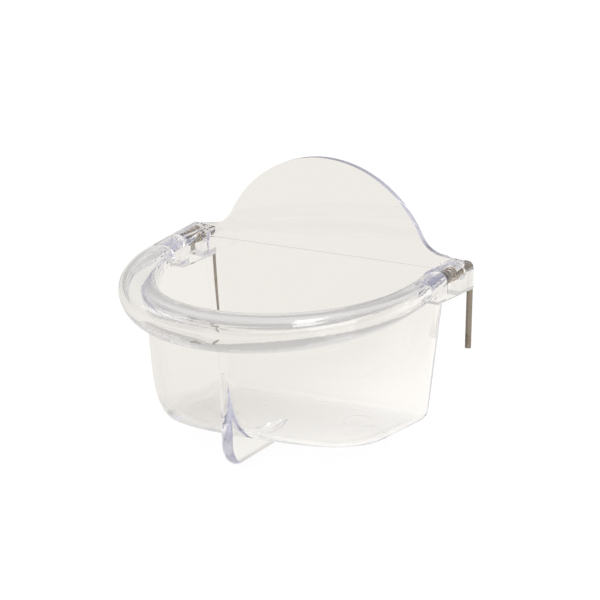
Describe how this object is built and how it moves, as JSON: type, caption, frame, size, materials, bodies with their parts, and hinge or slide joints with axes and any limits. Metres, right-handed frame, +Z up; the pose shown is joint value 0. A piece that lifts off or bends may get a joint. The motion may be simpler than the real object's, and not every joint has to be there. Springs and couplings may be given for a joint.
{
  "type": "seed cup",
  "caption": "Clear hang-on seed cup with a rounded perch lip, a splash guard and sprung wire hooks that turn and pull out to grip cage wires.",
  "frame": {"origin": "centre of the part's bounding box in plan, at the level of the foot rib's lower edge", "axes": "+X towards the right ear across the cup, +Y towards the cage behind the cup, +Z up"},
  "size_m": [0.0984, 0.0858, 0.0822],
  "materials": {
    "clear_plastic": "clear, polished mould finish",
    "wire": "drawn wire, dull plated",
    "spring_wire": "spring steel, slightly browned",
    "washer_steel": "stamped spring steel"
  },
  "bodies": {
    "cup": {"cup": "clear_plastic"},
    "coil_left": {"spring_left": "spring_wire"},
    "coil_right": {"spring_right": "spring_wire"},
    "clip_left": {"hook_left": "wire", "washer_left": "washer_steel"},
    "clip_right": {"hook_right": "wire", "washer_right": "washer_steel"}
  },
  "joints": [
    {"name": "turn_left", "type": "hinge", "parent": "cup", "child": "coil_left", "pos_m": [-0.045, 0.036, 0.05275], "axis": [0, 1, 0], "continuous": true},
    {"name": "pull_left", "type": "slide", "parent": "coil_left", "child": "clip_left", "axis": [0, 1, 0], "range_m": [0, 0.004], "stiffness_N_per_m": 5800, "deforming": ["spring_left"]},
    {"name": "turn_right", "type": "hinge", "parent": "cup", "child": "coil_right", "pos_m": [0.045, 0.036, 0.05275], "axis": [0, 1, 0], "continuous": true},
    {"name": "pull_right", "type": "slide", "parent": "coil_right", "child": "clip_right", "axis": [0, 1, 0], "range_m": [0, 0.004], "stiffness_N_per_m": 5800, "deforming": ["spring_right"]}
  ]
}
